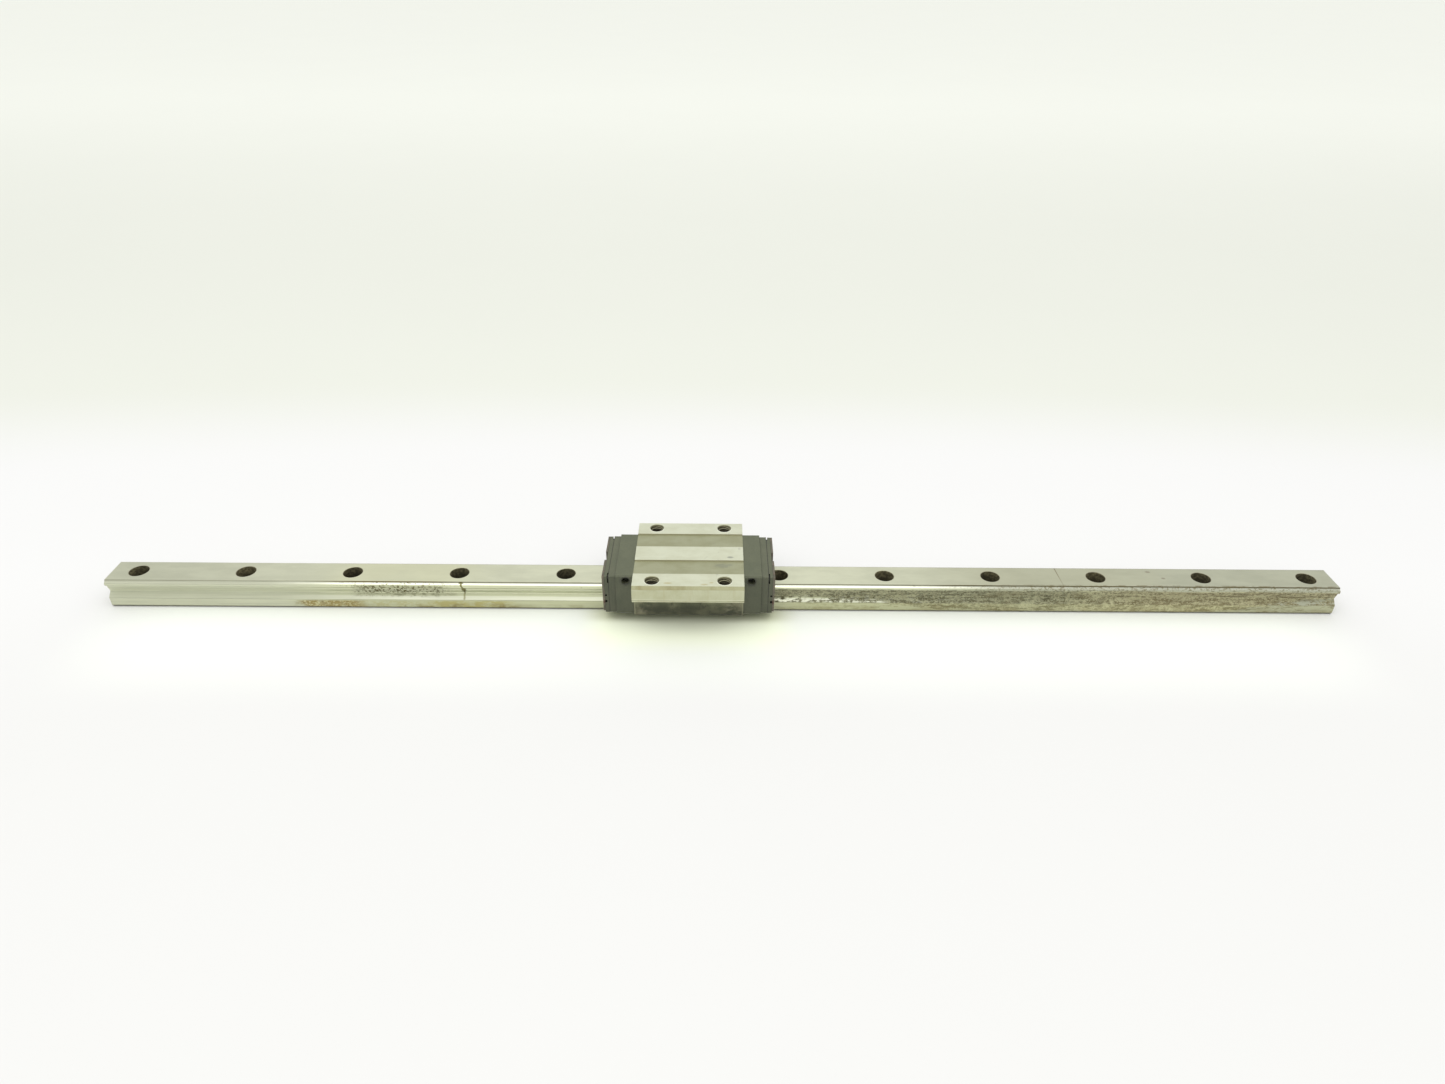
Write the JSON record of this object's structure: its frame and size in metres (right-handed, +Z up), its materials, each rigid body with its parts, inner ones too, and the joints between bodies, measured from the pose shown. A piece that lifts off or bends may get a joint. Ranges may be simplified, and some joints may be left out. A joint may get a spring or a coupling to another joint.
{
  "type": "linear guide carriage",
  "caption": "Flanged recirculating-ball carriage that slides along a ground profiled rail with counterbored bolt holes, to carry a load in a straight line.",
  "frame": {"origin": "middle of the rail's underside, halfway along the rail", "axes": "+X along the rail, +Y across it away from the viewer, +Z up from the rail's underside to the carriage's mounting face"},
  "size_m": [0.92, 0.09, 0.042],
  "materials": {
    "rail_steel": "ground, with rust stains",
    "block_steel": "ground pads, duller relieved faces",
    "cap_plastic": "matt moulded",
    "seal_frame_plastic": "matt moulded",
    "white_plastic": "natural moulded",
    "seal_rubber": "matt",
    "scraper_steel": "dull sheet",
    "screw_steel": "black oxide",
    "ball_steel": "polished"
  },
  "bodies": {
    "rail": {"rail": "rail_steel"},
    "carriage": {"carriage_block": "block_steel", "balls_front_upper": "ball_steel", "balls_front_lower": "ball_steel", "balls_back_upper": "ball_steel", "balls_back_lower": "ball_steel", "return_tubes_front": "white_plastic", "return_tubes_back": "white_plastic", "retainer_top": "white_plastic", "retainer_middle_front": "white_plastic", "retainer_middle_back": "white_plastic", "retainer_lower_front": "white_plastic", "retainer_lower_back": "white_plastic", "side_seal_front": "seal_rubber", "side_seal_back": "seal_rubber", "end_cap_left": "cap_plastic", "return_guides_left": "white_plastic", "inner_seal_left": "seal_frame_plastic", "outer_seal_left": "seal_frame_plastic", "scraper_plate_left": "scraper_steel", "cap_screws_left": "screw_steel", "grease_plug_left": "screw_steel", "end_cap_right": "cap_plastic", "return_guides_right": "white_plastic", "inner_seal_right": "seal_frame_plastic", "outer_seal_right": "seal_frame_plastic", "scraper_plate_right": "scraper_steel", "cap_screws_right": "screw_steel", "grease_plug_right": "screw_steel"}
  },
  "joints": [
    {"name": "carriage_slide", "type": "slide", "parent": "rail", "child": "carriage", "axis": [1, 0, 0], "range_m": [-0.369, 0.423]}
  ]
}
